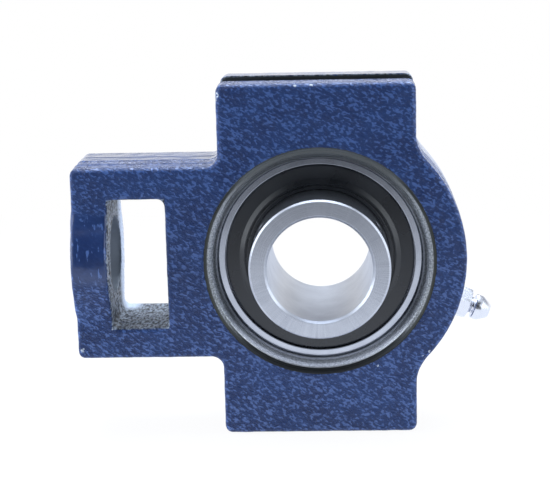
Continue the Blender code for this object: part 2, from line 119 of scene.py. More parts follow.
def netted(distance, low, high, step):
    """Surface of a signed distance: one point in each grid cell that the surface crosses, at the mean of
    its crossings with the cell's edges, and one quad round each grid edge that it crosses."""
    lines = [np.arange(a, b + step, step, dtype=np.float32) for a, b in zip(low, high)]
    field = distance(np.meshgrid(*lines, indexing="ij", sparse=True)).astype(np.float32)
    inside = field < 0
    size = np.array(field.shape) - 1
    corners = [(i, j, k) for i in (0, 1) for j in (0, 1) for k in (0, 1)]
    count = sum(inside[i:size[0] + i, j:size[1] + j, k:size[2] + k].astype(np.int8) for i, j, k in corners)
    cells = np.argwhere((count > 0) & (count < 8))
    number = np.full(tuple(size), -1)
    number[tuple(cells.T)] = np.arange(len(cells))
    total = np.zeros((len(cells), 3))
    crossings = np.zeros(len(cells))
    faces = []
    for axis in range(3):
        step_on = np.eye(3, dtype=int)[axis]
        for corner in [c for c in corners if c[axis] == 0]:
            start = field[tuple((cells + corner).T)]
            end = field[tuple((cells + corner + step_on).T)]
            crossed = (start < 0) != (end < 0)
            share = np.where(crossed, start / np.where(crossed, start - end, 1), 0)
            total += crossed[:, None] * (np.array(corner) + share[:, None] * step_on)
            crossings += crossed
        second, third = np.eye(3, dtype=int)[(axis + 1) % 3], np.eye(3, dtype=int)[(axis + 2) % 3]
        first_end = tuple(slice(0, n - e) for n, e in zip(inside.shape, step_on))
        last_end = tuple(slice(e, n) for n, e in zip(inside.shape, step_on))
        edges = np.argwhere(inside[first_end] != inside[last_end])
        edges = edges[((edges >= second + third) & (edges < size + step_on)).all(axis=1)]
        quads = [number[tuple((edges - back).T)] for back in (0 * second, second, second + third, third)]
        quads = np.stack(quads, axis=1)
        outward = inside[tuple(edges.T)]
        faces.append(np.where(outward[:, None], quads, quads[:, ::-1]))
    points = np.array(low) + step * (cells + total / crossings[:, None])
    return points, np.concatenate(faces)


def slope(distance, points, reach=0.05):
    """Direction in which a signed distance grows fastest at each point."""
    found = np.empty_like(points)
    for axis in range(3):
        offset = np.eye(3)[axis] * reach
        found[:, axis] = (distance((points + offset).T) - distance((points - offset).T)) / (2 * reach)
    return found / np.maximum(np.linalg.norm(found, axis=1), 0.2)[:, None]


def ripple(points, lengths, waves, seed):
    """Smooth unevenness from -1 to 1: a sum of plane waves with random directions, lengths and phases."""
    chance = np.random.default_rng(seed)
    way = chance.normal(size=(waves, 3))
    way /= np.linalg.norm(way, axis=1)[:, None]
    way *= 2 * np.pi / chance.uniform(*lengths, size=waves)[:, None]
    return np.sin(points @ way.T + chance.uniform(0, 2 * np.pi, waves)).sum(axis=1) / waves ** 0.5 / 1.5


def made_piece(name, points, faces, surface, body, slot_name, *stands_for, crease=35):
    """Mesh object from points in millimetres about the bearing centre, facing outwards."""
    places = points * 0.001 + centre
    faces = np.asarray(faces)
    first, middle, last = (places[faces[:, k]] - centre for k in (0, 1, 2))
    volume = np.einsum("ij,ij->i", first, np.cross(middle, last)).sum()
    if faces.shape[1] == 4:
        fourth = places[faces[:, 3]] - centre
        volume += np.einsum("ij,ij->i", first, np.cross(last, fourth)).sum()
    if volume < 0:
        faces = faces[:, ::-1]
    mesh = bpy.data.meshes.new(name)
    mesh.from_pydata(places.tolist(), [], faces.tolist())
    return dressed(name, mesh, surface, body, slot_name, *stands_for, crease=crease)


def dressed(name, mesh, surface, body, slot_name, *stands_for, crease=35):
    """Object for a finished mesh: poles closed, shaded smooth up to a crease angle, riding on its body."""
    shape = bmesh.new()
    shape.from_mesh(mesh)
    bmesh.ops.remove_doubles(shape, verts=shape.verts, dist=0.000002)
    shape.to_mesh(mesh)
    shape.free()
    mesh.shade_smooth()
    mesh.set_sharp_from_angle(angle=np.radians(crease))
    mesh.materials.append(surface)
    piece = bpy.data.objects.new(name, mesh)
    bpy.context.scene.collection.objects.link(piece)
    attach(piece, body)
    if stands_for:
        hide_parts(*stands_for)
    return piece


def put(tree, kind, settings=None, **inputs):
    """Adds a node; an input is named by its socket, or by its number as i0, i1 and so on."""
    node = tree.nodes.new("ShaderNode" + kind)
    for key, value in (settings or {}).items():
        setattr(node, key, value)
    for key, value in inputs.items():
        numbered = key[0] == "i" and key[1:].isdigit()
        socket = node.inputs[int(key[1:])] if numbered else node.inputs[key.replace("_", " ")]
        if isinstance(value, bpy.types.NodeSocket):
            tree.links.new(value, socket)
        else:
            socket.default_value = value
    return node


def maths(tree, operation, *values):
    """A sum, product or other operation on numbers or sockets."""
    numbered = {f"i{k}": value for k, value in enumerate(values)}
    return put(tree, "Math", {"operation": operation}, **numbered).outputs[0]


def ramped(tree, value, low, high, start=0.0, end=1.0):
    """Carries a value's range low to high over to start to end, and holds it there."""
    settings = {"interpolation_type": "SMOOTHSTEP"}
    limits = {"i1": low, "i2": high, "i3": start, "i4": end}
    return put(tree, "MapRange", settings, i0=value, **limits).outputs[0]


def mixed(tree, share, first, second):
    """Blends two colours."""
    return put(tree, "Mix", {"data_type": "RGBA"}, i0=share, i6=first, i7=second).outputs[2]


def noise(tree, place, size, detail=3.0, roughness=0.55):
    """Noise with features of about a size in millimetres."""
    node = put(tree, "TexNoise", Vector=place, Scale=1000 / size, Detail=detail, Roughness=roughness)
    return node.outputs[0]


def new_group(name, inputs, outputs):
    """Node group with number inputs, given as name and default, and outputs, given as name and kind."""
    group = bpy.data.node_groups.new(name, "ShaderNodeTree")
    for label, value in inputs:
        socket = group.interface.new_socket(label, in_out="INPUT", socket_type="NodeSocketFloat")
        socket.default_value = value
    for label, kind in outputs:
        group.interface.new_socket(label, in_out="OUTPUT", socket_type="NodeSocket" + kind)
    return group, group.nodes.new("NodeGroupInput"), group.nodes.new("NodeGroupOutput")


def use_group(tree, group, **inputs):
    """Places a node group in a material with its own values."""
    node = tree.nodes.new("ShaderNodeGroup")
    node.node_tree = group
    for key, value in inputs.items():
        node.inputs[key.replace("_", " ")].default_value = value
    return node.outputs


def surface(name):
    """New material with its node tree and its shader."""
    made = bpy.data.materials.new(name)
    made.use_nodes = True
    return made, made.node_tree, made.node_tree.nodes["Principled BSDF"]


def bumped(tree, shader, height, strength, distance):
    """Lets a height show in the light, where 1 stands for a distance in metres."""
    bump = put(tree, "Bump", Height=height, Strength=strength, Distance=distance)
    tree.links.new(bump.outputs[0], shader.inputs["Normal"])


# Sand grain as it shows through paint or on bare iron: short slanted streaks over a coarser swell, masks of
# the streaks' crests and hollows, and large soft patches.
sand_grain, taken, given = new_group(
    "sand grain", [("Grain mm", 0.6), ("Swell mm", 2.5), ("Swell share", 0.35), ("Wander", 0.6)],
    [("Height", "Float"), ("Hollows", "Float"), ("Crests", "Float"), ("Patches", "Float")])
place = put(sand_grain, "TexCoord").outputs["Object"]
slanted = put(sand_grain, "Mapping", {"vector_type": "TEXTURE"}, Vector=place, Rotation=(0, 0.5, 0),
              Scale=(1.5, 1.5, 0.8)).outputs[0]
grain_scale = maths(sand_grain, "DIVIDE", 1000.0, taken.outputs["Grain mm"])
swell_scale = maths(sand_grain, "DIVIDE", 1000.0, taken.outputs["Swell mm"])
grains = put(sand_grain, "TexNoise", Vector=slanted, Scale=grain_scale, Detail=1.5, Roughness=0.45,
             Distortion=taken.outputs["Wander"])
swell = put(sand_grain, "TexNoise", Vector=place, Scale=swell_scale, Detail=2.0, Roughness=0.5)
shared = maths(sand_grain, "MULTIPLY", swell.outputs[0], taken.outputs["Swell share"])
crest = maths(sand_grain, "ABSOLUTE", maths(sand_grain, "SUBTRACT", grains.outputs[0], 0.5))
sand_grain.links.new(ramped(sand_grain, grains.outputs[0], 0.48, 0.68), given.inputs["Crests"])
crest = maths(sand_grain, "SUBTRACT", maths(sand_grain, "MULTIPLY", grains.outputs[0], 0.6), crest)
sand_grain.links.new(maths(sand_grain, "ADD", crest, shared), given.inputs["Height"])
sand_grain.links.new(ramped(sand_grain, grains.outputs[0], 0.47, 0.36), given.inputs["Hollows"])
sand_grain.links.new(noise(sand_grain, place, 9.0), given.inputs["Patches"])

# Distance from the shaft's axis in millimetres, for turned and ground faces.
from_axis, taken, given = new_group("distance from the axis", [], [("Radius", "Float"), ("Around", "Vector")])
place = put(from_axis, "TexCoord").outputs["Object"]
moved = put(from_axis, "VectorMath", {"operation": "SUBTRACT"}, i0=place, i1=tuple(centre)).outputs[0]
parts = put(from_axis, "SeparateXYZ", i0=moved).outputs
squared = maths(from_axis, "ADD", maths(from_axis, "MULTIPLY", parts[0], parts[0]),
                maths(from_axis, "MULTIPLY", parts[2], parts[2]))
from_axis.links.new(maths(from_axis, "MULTIPLY", maths(from_axis, "SQRT", squared), 1000.0),
                    given.inputs["Radius"])
from_axis.links.new(moved, given.inputs["Around"])

# Blue paint: grainy in front of the parting line and smooth behind it, dull on the front face, with a smooth
# scratched patch on the stud boss and a few chips at the edges.
paint, tree, shader = surface("blue paint")
grain = use_group(tree, sand_grain, Grain_mm=0.65, Swell_mm=2.4, Swell_share=0.8, Wander=0.6)
deep, light = (0.003, 0.014, 0.062, 1), (0.005, 0.022, 0.086, 1)
# Painted light on the grain: a lighter blue on its crests is painted highlight, a darker blue in its hollows
# is painted shade.
crest_highlight_blue, pit_shade_blue = (0.055, 0.108, 0.280, 1), (0.004, 0.016, 0.070, 1)
scratch_blue, parting_blue = (0.08, 0.15, 0.36, 1), (0.006, 0.022, 0.100, 1)
blue = mixed(tree, ramped(tree, grain["Patches"], 0.35, 0.65), deep, light)
place = put(tree, "TexCoord").outputs["Object"]
from_centre = put(tree, "VectorMath", {"operation": "SUBTRACT"}, i0=place, i1=tuple(centre)).outputs[0]
x, y, z = put(tree, "SeparateXYZ", i0=from_centre).outputs
front_half = ramped(tree, y, -0.0004, 0.0004, 1.0, 0.06)
patch_height = maths(tree, "MULTIPLY", ramped(tree, z, 0.0135, 0.0115), ramped(tree, z, -0.006, -0.002))
smooth_patch = maths(tree, "MULTIPLY", ramped(tree, x, -0.0455, -0.0475), patch_height)
rough_part = maths(tree, "SUBTRACT", 1.0, maths(tree, "MULTIPLY", smooth_patch, 0.9))
grainy = maths(tree, "MULTIPLY", front_half, rough_part)
front_face = ramped(tree, y, -0.0118, -0.0112, 1.0, 0.0)
# Grain crests are painted lighter as painted highlight and hollows painted darker as painted shade, where the
# paint is grainy.
crests = maths(tree, "MULTIPLY", maths(tree, "MULTIPLY", grain["Crests"], grainy), 0.55)
blue = mixed(tree, crests, blue, crest_highlight_blue)
painted_pit_shade = maths(tree, "MULTIPLY", grain["Hollows"], maths(tree, "MULTIPLY", grainy, 0.35))
blue = mixed(tree, painted_pit_shade, blue, pit_shade_blue)
upright = put(tree, "VectorMath", {"operation": "MULTIPLY"}, i0=place, i1=(1.6, 1, 0.45)).outputs[0]
scratches = ramped(tree, noise(tree, upright, 1.3, 4.0), 0.60, 0.66, 0.0, 0.45)
scratches = maths(tree, "MULTIPLY", smooth_patch, scratches)
blue = mixed(tree, scratches, blue, scratch_blue)
parting = ramped(tree, maths(tree, "ABSOLUTE", y), 0.0004, 0.0002, 0.0, 0.7)
blue = mixed(tree, parting, blue, parting_blue)
uneven_edge = maths(tree, "MULTIPLY", maths(tree, "SUBTRACT", noise(tree, place, 0.9), 0.5), 0.0008)


def outside_of(middle, half, axis_value):
    """How far outside a span a coordinate lies, in metres, negative within it."""
    away = maths(tree, "ABSOLUTE", maths(tree, "SUBTRACT", axis_value, middle * 0.001))
    return maths(tree, "SUBTRACT", away, half * 0.001)


# The slot, the stud hole and the guide grooves were cut or masked after painting, so they are bare iron.
in_slot = maths(tree, "MAXIMUM", outside_of(slot_middle[0], slot_half[0], x),
                outside_of(slot_middle[1], slot_half[1], z))
from_stud = put(tree, "CombineXYZ", i0=y, i1=z).outputs[0]
from_stud = put(tree, "VectorMath", {"operation": "LENGTH"}, i0=from_stud).outputs["Value"]
in_hole = maths(tree, "MAXIMUM", outside_of(-55, 9, x),
                maths(tree, "SUBTRACT", from_stud, (stud_hole_radius + 0.1) * 0.001))
below_floor = maths(tree, "MULTIPLY", outside_of(0, groove_floor - 0.1, z), -1.0)
in_groove = maths(tree, "MAXIMUM", outside_of(0, groove_half, y), below_floor)
in_groove = maths(tree, "MAXIMUM", in_groove, outside_of(0, block_half[0] + 0.9, x))
bare = maths(tree, "MINIMUM", in_slot, in_hole)
bare = ramped(tree, maths(tree, "ADD", maths(tree, "MINIMUM", bare, in_groove), uneven_edge), 0.0003, 0.0001)
hole_and_groove = ramped(tree, maths(tree, "MINIMUM", in_hole, in_groove), 0.0002, 0.0)
deep_place = put(tree, "VectorMath", {"operation": "MULTIPLY"}, i0=place, i1=(1, 0.4, 1)).outputs[0]
speckle = ramped(tree, noise(tree, deep_place, 0.65, 3.0), 0.35, 0.65)
# The pale bluish grey at the end of this line is a painted sheen.
dark_iron, pale_iron, rear_sheen_iron = (0.012, 0.014, 0.018, 1), (0.28, 0.32, 0.38, 1), (0.60, 0.68, 0.82, 1)
# The near-black iron at the start of this line is painted shade for the guide grooves.
groove_shade_iron, drilled_iron, chipped_iron = (0.030, 0.034, 0.038, 1), (0.15, 0.17, 0.20, 1), (0.26, 0.29, 0.34, 1)
iron_tone = mixed(tree, speckle, dark_iron, pale_iron)
# Painted sheen: the rear of the bare iron at the slot's stud end is painted a pale bluish grey.
painted_rear_sheen = maths(tree, "MULTIPLY", ramped(tree, x, -0.045, -0.048), ramped(tree, y, 0.004, 0.009, 0.0, 0.8))
iron_tone = mixed(tree, painted_rear_sheen, iron_tone, rear_sheen_iron)
# Painted shade: the stud hole and the guide grooves are first painted near black for the shade in their
# recesses; the stud hole then gets a mid grey, so only the grooves keep the painted shade.
iron_tone = mixed(tree, hole_and_groove, iron_tone, groove_shade_iron)
drilled = maths(tree, "MULTIPLY", hole_and_groove, ramped(tree, x, -0.045, -0.046))
iron_tone = mixed(tree, drilled, iron_tone, drilled_iron)

chips = 0.0
for across, up, size in [(-23.7, 40.6, 0.65), (-23.9, 39.4, 0.55), (-5.2, 42.7, 0.45), (-1.5, 42.7, 0.55),
                         (-58.0, -21.1, 0.5), (26.2, -22.5, 0.35), (24.8, -23.7, 0.4), (13.5, -25.9, 0.35)]:
    spot = tuple(np.array([across, -12.0, up]) * 0.001 + centre)
    away = put(tree, "VectorMath", {"operation": "DISTANCE"}, i0=place, i1=spot).outputs["Value"]
    chips = maths(tree, "MAXIMUM", chips, ramped(tree, away, size * 0.0013, size * 0.0008))
chips = maths(tree, "MULTIPLY", chips, ramped(tree, noise(tree, place, 0.7), 0.45, 0.52))
tone = mixed(tree, bare, mixed(tree, chips, blue, chipped_iron), iron_tone)
tree.links.new(tone, shader.inputs["Base Color"])
painted = maths(tree, "SUBTRACT", 1.0, bare)
tree.links.new(maths(tree, "MULTIPLY", bare, 0.6), shader.inputs["Metallic"])
gloss = ramped(tree, grain["Patches"], 0.3, 0.7, 0.22, 0.32)
gloss = maths(tree, "ADD", gloss, maths(tree, "MULTIPLY", front_face, 0.2))
tree.links.new(maths(tree, "ADD", gloss, maths(tree, "MULTIPLY", bare, 0.22)), shader.inputs["Roughness"])
level = ramped(tree, front_face, 0.0, 1.0, 0.0009, 0.0004)
uncut = maths(tree, "SUBTRACT", grainy, maths(tree, "MULTIPLY", hole_and_groove, 0.9))
level = maths(tree, "MULTIPLY", level, uncut)
level = maths(tree, "MAXIMUM", level, 0.00003)
bumped(tree, shader, grain["Height"], 1.0, level)
dulled = maths(tree, "ADD", ramped(tree, grain["Crests"], 0.0, 1.0, 0.85, 0.2),
               maths(tree, "MULTIPLY", front_face, 0.3))
clear = maths(tree, "SUBTRACT", 1.0, maths(tree, "MULTIPLY", grainy, dulled))
clear = maths(tree, "MAXIMUM", clear, 0.15)
tree.links.new(maths(tree, "MULTIPLY", painted, clear), shader.inputs["Coat Weight"])
shader.inputs["Coat Roughness"].default_value = 0.12
shader.inputs["Specular IOR Level"].default_value = 0.3

points, faces = netted(casting_distance, (-61.0, -17.6, -44.2), (36.8, 17.6, 44.2), step=0.5)
for _ in range(3):
    away = casting_distance(points.T)
    points -= np.clip(away, -0.3, 0.3)[:, None] * slope(casting_distance, points)

# The cast skin is uneven, mostly inwards, away from the bore and from the grooves' edges, and a low seam
# runs round it where the mould parted.
radius = np.hypot(points[:, 0], points[:, 2])
off_groove = np.abs(np.abs(points[:, 1]) - groove_half) - 0.4
rough = np.clip((radius - mouth_radius - 0.55) / 2.0, 0, 1) * np.clip(off_groove / 0.5, 0, 1)
uneven = 0.035 * ripple(points, (2.5, 7.0), 40, 3) + 0.015 * ripple(points, (1.3, 2.4), 40, 4) - 0.08
seam = 0.1 * np.exp(-(points[:, 1] / 0.45) ** 2) * (np.abs(points[:, 2]) < groove_floor - 1)
points += (rough * (uneven + seam))[:, None] * slope(casting_distance, points)
low, high = [(np.array(corner) - centre) * 1000 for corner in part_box("housing")]
points = np.clip(points, low, high)
made_piece("casting", points, faces, paint, "casting", "blue_paint", "housing", crease=50)

# Bearing seat: the casting's bore, turned to a sphere for the insert, with a wider mouth at each end,
# a grease groove round the middle, and two notches at the rear through which the insert goes in.


def plain(line):
    """Profile points with no rounding."""
    return [(radius, height, 0) for radius, height in line]


def softened(corners, steps=5):
    """Closed profile through corners (radius, height, rounding): each corner with a rounding becomes the arc
    of that radius that touches both of its sides."""
    corners = np.array(corners, float)
    made = []
    for before, corner, after in zip(np.roll(corners, 1, 0), corners, np.roll(corners, -1, 0)):
        if corner[2] == 0:
            made.append(corner[None, :2])
            continue
        back = (before - corner)[:2] / np.hypot(*(before - corner)[:2])
        ahead = (after - corner)[:2] / np.hypot(*(after - corner)[:2])
        half = np.arccos(np.clip(back @ ahead, -1, 1)) / 2
        middle = (back + ahead) / np.hypot(*(back + ahead)) * corner[2] / np.sin(half)
        leave, enter = back * corner[2] / np.tan(half) - middle, ahead * corner[2] / np.tan(half) - middle
        sweep, share = np.pi - 2 * half, np.linspace(0, 1, steps + 1)[:, None]
        arc = (np.sin((1 - share) * sweep) * leave + np.sin(share * sweep) * enter) / np.sin(sweep)
        reach = 1.3 * corner[2] / np.tan(half)
        made.append(np.concatenate([[corner[:2] + back * reach], corner[:2] + middle + arc,
                                    [corner[:2] + ahead * reach]]))
    return np.concatenate(made)


def turned(profile, steps, closed=True):
    """A profile (radius, height towards the front) carried round the shaft's axis in equal steps."""
    angle = np.arange(steps) * 2 * np.pi / steps
    radius, height = np.asarray(profile).T
    points = np.stack([np.outer(np.cos(angle), radius), np.tile(-height, (steps, 1)),
                       np.outer(np.sin(angle), radius)], axis=-1).reshape(-1, 3)
    count = len(radius)
    last = count if closed else count - 1
    step, along = np.meshgrid(np.arange(steps), np.arange(last), indexing="ij")
    ahead, up = (step + 1) % steps, (along + 1) % count
    faces = np.stack([step * count + along, ahead * count + along, ahead * count + up, step * count + up], -1)
    return points, faces.reshape(-1, 4)


iron, tree, shader = surface("turned iron")
grain = use_group(tree, sand_grain, Grain_mm=0.45, Swell_mm=2.0, Swell_share=0.3)
axis_place = use_group(tree, from_axis)
place_of_iron = put(tree, "TexCoord").outputs["Object"]
depth = put(tree, "SeparateXYZ", i0=axis_place["Around"]).outputs[1]
marks = put(tree, "CombineXYZ", i0=maths(tree, "MULTIPLY", axis_place["Radius"], 0.001), i1=depth).outputs[0]
lines = noise(tree, marks, 0.12, 1.0)
specks = ramped(tree, noise(tree, place_of_iron, 0.4), 0.4, 0.6)
tone = mixed(tree, specks, (0.22, 0.23, 0.24, 1), (0.40, 0.42, 0.44, 1))
rim = ramped(tree, axis_place["Radius"], 27.0, 27.3)
# Painted light on the mouth: towards the top it is painted darker in two tones as painted shade; towards the
# bottom a pale inner band is painted highlight and a dark outer band is painted shade.
above = ramped(tree, put(tree, "SeparateXYZ", i0=axis_place["Around"]).outputs[2], 0.012, 0.022)
tone = mixed(tree, rim, tone, (0.060, 0.062, 0.055, 1))
tone = mixed(tree, above, tone, mixed(tree, ramped(tree, axis_place["Radius"], 25.9, 26.1),
                                      (0.24, 0.25, 0.26, 1), (0.11, 0.115, 0.112, 1)))
below = ramped(tree, put(tree, "SeparateXYZ", i0=axis_place["Around"]).outputs[2], -0.012, -0.021)
tone = mixed(tree, below, tone, mixed(tree, ramped(tree, axis_place["Radius"], 26.4, 26.6),
                                      mixed(tree, specks, (0.60, 0.62, 0.66, 1), (0.85, 0.87, 0.90, 1)),
                                      (0.045, 0.048, 0.050, 1)))
tree.links.new(tone, shader.inputs["Base Color"])
shader.inputs["Metallic"].default_value = 0.9
tree.links.new(ramped(tree, lines, 0.3, 0.7, 0.26, 0.42), shader.inputs["Roughness"])
height = maths(tree, "ADD", grain["Height"], maths(tree, "MULTIPLY", lines, 0.5))
bumped(tree, shader, height, 0.35, 0.00012)

seat_sphere, edge = 26.2, 8.2
edge_radius = np.sqrt(seat_sphere ** 2 - edge ** 2)
rim_radius, rim_height = 27.9, 12.22
trough_radius, trough_half = 27.0, 3.0
notch_radius, notch_half = 26.4, 7.85
lead, rise = 2.5, 3.55
bend = np.radians(np.linspace(84, 8, 12))
rounded = np.stack([edge_radius + lead * (1 - np.cos(bend)), edge + rise * np.sin(bend)], axis=1)
mouth = [(rim_radius, 11.9, 0), (rim_radius, rim_height, 0.06), (27.72, rim_height, 0.05)]
mouth += plain(rounded) + [(edge_radius, edge, 0)]
down = np.linspace(edge, trough_half, 8)[1:]
sphere = np.stack([np.sqrt(seat_sphere ** 2 - down ** 2), down], axis=1)
trough = [(trough_radius, trough_half, 0), (trough_radius, -trough_half, 0)]
rear = [(edge_radius, -edge, 0), (27.4, -11.85, 0.2), (27.7, -rim_height, 0.1), (rim_radius, -rim_height, 0)]
inner = softened(mouth + plain(sphere) + trough + plain(sphere[::-1] * (1, -1)) + rear)
points, faces = turned(inner, 240)
radius = np.hypot(points[:, 0], points[:, 2])
notch = (points[:, 1] > 0.5) & (np.abs(points[:, 0]) < notch_half) & (radius < notch_radius)
points[notch] *= (np.array([[1, 0, 1]]) * notch_radius / radius[notch][:, None]) + [[0, 1, 0]]
made_piece("bearing_seat", points, faces, iron, "casting", "blue_paint", crease=30)

# Outer ring: hardened steel, ground to a sphere outside, with a flat land at each end and a recess for
# the seal. Only the land and its two small chamfers show.

steel, tree, shader = surface("ground steel")
axis_place = use_group(tree, from_axis)
parts = put(tree, "SeparateXYZ", i0=axis_place["Around"]).outputs
out_from_axis = maths(tree, "MULTIPLY", axis_place["Radius"], 0.001)
marks = put(tree, "CombineXYZ", i0=out_from_axis, i1=parts[1]).outputs[0]
fine = noise(tree, marks, 0.06, 2.0)
clouds = noise(tree, axis_place["Around"], 6.0)
across = put(tree, "CombineXYZ", i0=parts[0], i2=parts[2]).outputs[0]
across = put(tree, "VectorMath", {"operation": "NORMALIZE"}, i0=across).outputs[0]
rays = maths(tree, "MULTIPLY", ramped(tree, noise(tree, across, 14.0, 2.0), 0.4, 0.62),
             ramped(tree, parts[1], -0.0194, -0.0197))
tone = mixed(tree, ramped(tree, clouds, 0.3, 0.7), (0.54, 0.56, 0.61, 1), (0.62, 0.64, 0.69, 1))
tone = mixed(tree, maths(tree, "MULTIPLY", rays, 0.5), tone, (0.74, 0.76, 0.80, 1))
inside = ramped(tree, axis_place["Radius"], 12.9, 12.6)
outside = ramped(tree, axis_place["Radius"], 22.0, 22.5)
tree.links.new(tone, shader.inputs["Base Color"])
shader.inputs["Metallic"].default_value = 1
rough = maths(tree, "ADD", ramped(tree, fine, 0.3, 0.7, 0.24, 0.36), maths(tree, "MULTIPLY", inside, 0.06))
rough = maths(tree, "SUBTRACT", rough, maths(tree, "MULTIPLY", outside, 0.1))
tree.links.new(rough, shader.inputs["Roughness"])
bumped(tree, shader, fine, 0.25, 0.00002)

insert_sphere, ring_half = 26.0, 7.5
face = np.sqrt(insert_sphere ** 2 - ring_half ** 2) - 0.4
recess = face - 1.45
down = np.linspace(ring_half - 0.4, 0.4 - ring_half, 29)
sphere = np.stack([np.sqrt(insert_sphere ** 2 - down ** 2), down], axis=1)
ball_radius = 3.969
race_radius = ball_radius + 0.2
pitch = insert_sphere - 2.38 - race_radius


def race(side, drop, steps=16):
    """Raceway groove from front to rear: an arc of the ball's radius, up to a drop below its middle."""
    tilt = np.arcsin(drop / race_radius)
    angle = np.linspace(tilt, np.pi - tilt, steps)
    return np.stack([pitch + side * race_radius * np.sin(angle), race_radius * np.cos(angle)], axis=1)


shoulder = pitch + 2.4
step_in = 5.37
land = [(recess, ring_half, 0.15), (face, ring_half, 0.15)]
rear_land = [(face, -ring_half, 0.15), (recess, -ring_half, 0.15), (recess, -step_in, 0),
             (shoulder, -step_in, 0)]
front_step = [(shoulder, step_in, 0), (recess, step_in, 0)]
profile = softened(land + plain(sphere) + rear_land + plain(race(1, 2.4)[::-1]) + front_step, 3)
points, faces = turned(profile, 240)
made_piece("bearing_outer_ring", points, faces, steel, "aligning_ring", "ground_steel", "outer_ring",
           crease=25)

# Inner ring: hardened steel, ground in the bore and on the end faces, and longer towards the front,
# where two threaded holes for grub screws go through its wall.

bore = 12.5
inner_shoulder = pitch - 2.65
front_reach, rear_reach, bore_bevel, outer_bevel = 19.8, 14.3, 0.6, 0.45
front_end = [(bore, front_reach - bore_bevel, 0.1), (bore + bore_bevel, front_reach, 0.1),
             (inner_shoulder - outer_bevel, front_reach, 0.1),
             (inner_shoulder, front_reach - outer_bevel, 0.1)]
rear_end = [(inner_shoulder, outer_bevel - rear_reach, 0.1), (inner_shoulder - outer_bevel, -rear_reach, 0.1),
            (bore + bore_bevel, -rear_reach, 0.1), (bore, bore_bevel - rear_reach, 0.1)]
points, faces = turned(softened(front_end + plain(race(-1, 2.65)) + rear_end, 3), 192)


def aimed(points, angle, distance):
    """Turns a piece's own z away from the shaft, at an angle above +x and a distance from the axis."""
    turn = np.radians(angle)
    outward = np.array([np.cos(turn), 0, np.sin(turn)])
    sideways = np.array([-np.sin(turn), 0, np.cos(turn)])
    return points[:, :1] * [[0, 1, 0]] + points[:, 1:2] * sideways + (points[:, 2:] + distance) * outward


def between(rows, steps, closed=False):
    """Quads from each row of points to the next, round each row, and if closed from the last row to the
    first."""
    row, step = np.meshgrid(np.arange(rows if closed else rows - 1), np.arange(steps), indexing="ij")
    up, ahead = (row + 1) % rows, (step + 1) % steps
    faces = [row * steps + step, row * steps + ahead, up * steps + ahead, up * steps + step]
    return np.stack(faces, axis=-1).reshape(-1, 4)


def tower(heights, radii):
    """Skin of a stack of closed rings: a row of radii, one for each direction, at each height. The rows
    follow each other from one pole or ring to the next."""
    rows, steps = radii.shape
    angle = np.arange(steps) * 2 * np.pi / steps
    points = np.stack([radii * np.cos(angle), radii * np.sin(angle),
                       np.tile(np.asarray(heights)[:, None], (1, steps))], axis=-1).reshape(-1, 3)
    return points, between(rows, steps)


grub_angles = (150, 30)
grub_place = (0, -15.0, 0)
grub_hole_radius = 3.0
ring = made_piece("bearing_inner_ring", points, faces, steel, "rotor", "ground_steel", "inner_ring",
                  crease=25)
for angle in grub_angles:
    radii = np.array([[0], [grub_hole_radius], [grub_hole_radius], [0]]) * np.ones((1, 48))
    points, faces = tower([-1.5, -1.5, 6, 6], radii)
    places = (aimed(points, angle, bore) + grub_place) * 0.001 + centre
    mesh = bpy.data.meshes.new("grub_drill")
    mesh.from_pydata(places.tolist(), [], faces.tolist())
    shape = bmesh.new()
    shape.from_mesh(mesh)
    bmesh.ops.remove_doubles(shape, verts=shape.verts, dist=0.000002)
    bmesh.ops.recalc_face_normals(shape, faces=shape.faces)
    shape.to_mesh(mesh)
    shape.free()
    drill = bpy.data.objects.new("grub_drill", mesh)
    bpy.context.scene.collection.objects.link(drill)
    cut = ring.modifiers.new("drill", "BOOLEAN")
    cut.solver = "EXACT"
    cut.object = drill
    bpy.context.view_layer.update()
    drilled = bpy.data.meshes.new_from_object(ring.evaluated_get(bpy.context.evaluated_depsgraph_get()))
    ring.modifiers.clear()
    ring.data = drilled
    bpy.data.objects.remove(drill)

# Grub screws: black hexagon-socket screws with a cup point, one in each of the inner ring's holes, with
# a fine thread.

black, tree, shader = surface("black oxide")
place = put(tree, "TexCoord").outputs["Object"]
worn = ramped(tree, noise(tree, place, 0.8), 0.45, 0.7)
tone = mixed(tree, worn, (0.035, 0.036, 0.04, 1), (0.14, 0.14, 0.15, 1))
tree.links.new(tone, shader.inputs["Base Color"])
shader.inputs["Metallic"].default_value = 0.9
tree.links.new(ramped(tree, noise(tree, place, 0.3), 0.3, 0.7, 0.32, 0.5), shader.inputs["Roughness"])
bumped(tree, shader, noise(tree, place, 0.15), 0.2, 0.00002)


def hexagon(across, steps):
    """Radius of a hexagon in each direction, from its width across flats."""
    angle = np.arange(steps) * 2 * np.pi / steps
    return across / 2 / np.cos((angle + np.pi / 6) % (np.pi / 3) - np.pi / 6)


